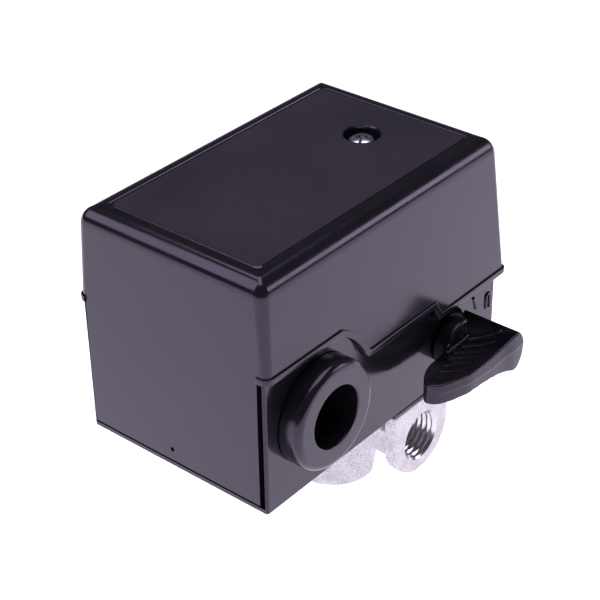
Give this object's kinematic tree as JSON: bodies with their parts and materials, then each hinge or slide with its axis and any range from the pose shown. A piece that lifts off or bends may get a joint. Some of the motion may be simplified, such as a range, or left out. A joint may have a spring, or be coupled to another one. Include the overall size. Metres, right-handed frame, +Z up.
{
  "type": "pressure switch",
  "caption": "Pneumatic pressure switch: black moulded cover and base, thumb lever, cable glands and spring mechanism on a die-cast manifold with threaded ports.",
  "frame": {"origin": "centre of the face of the manifold's bottom inlet port, where the switch screws onto its pressure line", "axes": "+Z up along the inlet's axis, +X along the casing's long side towards the lever's end, -Y out of the side that carries the lever"},
  "size_m": [0.084, 0.0689, 0.087],
  "materials": {
    "cover": "moulded black ABS, satin sides, fine grain on the top panel",
    "base_plastic": "moulded black ABS, glossy",
    "gland_plastic": "moulded black nylon, glossy face",
    "lever_plastic": "moulded black nylon, satin, ribbed thumb face",
    "cast_aluminium": "die-cast, bright blasted skin",
    "machined_aluminium": "turned",
    "zinc_steel": "bright zinc plate",
    "pressed_steel": "zinc-plated pressed sheet",
    "spring_steel": "drawn spring wire",
    "brass": "stamped brass",
    "copper": "copper strip with silver-tipped contacts",
    "phenolic": "moulded brown phenolic",
    "diaphragm_rubber": "moulded nitrile rubber"
  },
  "bodies": {
    "switch": {"cover_post": "zinc_steel", "base_housing": "base_plastic", "cable_gland_front": "gland_plastic", "cable_gland_back": "gland_plastic", "manifold": "cast_aluminium", "diaphragm": "diaphragm_rubber", "mechanism_frame": "pressed_steel", "pivot_pin": "zinc_steel", "pivot_clip_1": "spring_steel", "pivot_clip_2": "spring_steel", "range_spring": "spring_steel", "range_stud": "zinc_steel", "range_spring_seat": "zinc_steel", "range_nut": "zinc_steel", "differential_spring": "spring_steel", "differential_stud": "zinc_steel", "differential_nut": "zinc_steel", "terminal_block": "phenolic", "earth_screw_1": "brass", "earth_screw_2": "brass", "contact_plate_1": "brass", "wire_clamp_1": "zinc_steel", "terminal_screw_1": "zinc_steel", "flange_screw_1": "zinc_steel", "contact_plate_2": "brass", "wire_clamp_2": "zinc_steel", "terminal_screw_2": "zinc_steel", "flange_screw_2": "zinc_steel", "contact_plate_3": "brass", "wire_clamp_3": "zinc_steel", "terminal_screw_3": "zinc_steel", "flange_screw_3": "zinc_steel", "contact_plate_4": "brass", "wire_clamp_4": "zinc_steel", "terminal_screw_4": "zinc_steel", "flange_screw_4": "zinc_steel"},
    "cover": {"cover": "cover", "cover_screw": "zinc_steel"},
    "rocker": {"rocker_beam": "pressed_steel", "contact_carrier": "phenolic", "contact_bridge_1": "copper", "contact_bridge_2": "copper"},
    "piston": {"piston": "machined_aluminium"},
    "lever": {"lever": "lever_plastic", "lever_cam": "phenolic", "lever_clip": "spring_steel"}
  },
  "joints": [
    {"name": "lever_turn", "type": "hinge", "parent": "switch", "child": "lever", "pos_m": [0.0098, -0.03, 0.0425], "axis": [0, 1, 0], "range_deg": [0, 40]},
    {"name": "rocker_tilt", "type": "hinge", "parent": "switch", "child": "rocker", "pos_m": [0.0218, 0, 0.0415], "axis": [0, 1, 0], "range_deg": [0, 3.6], "stiffness_Nm_per_rad": 0.1, "springref_deg": -5.73, "deforming": ["range_spring", "differential_spring"]},
    {"name": "piston_slide", "type": "slide", "parent": "switch", "child": "piston", "axis": [0, 0, 1], "range_m": [0, 0.0015]},
    {"name": "cover_lift", "type": "slide", "parent": "switch", "child": "cover", "axis": [0, 0, 1], "range_m": [0, 0.06]}
  ],
  "couplings": [
    {"joint": "piston_slide", "follows": "rocker_tilt", "m_per_rad": 0.0218}
  ]
}
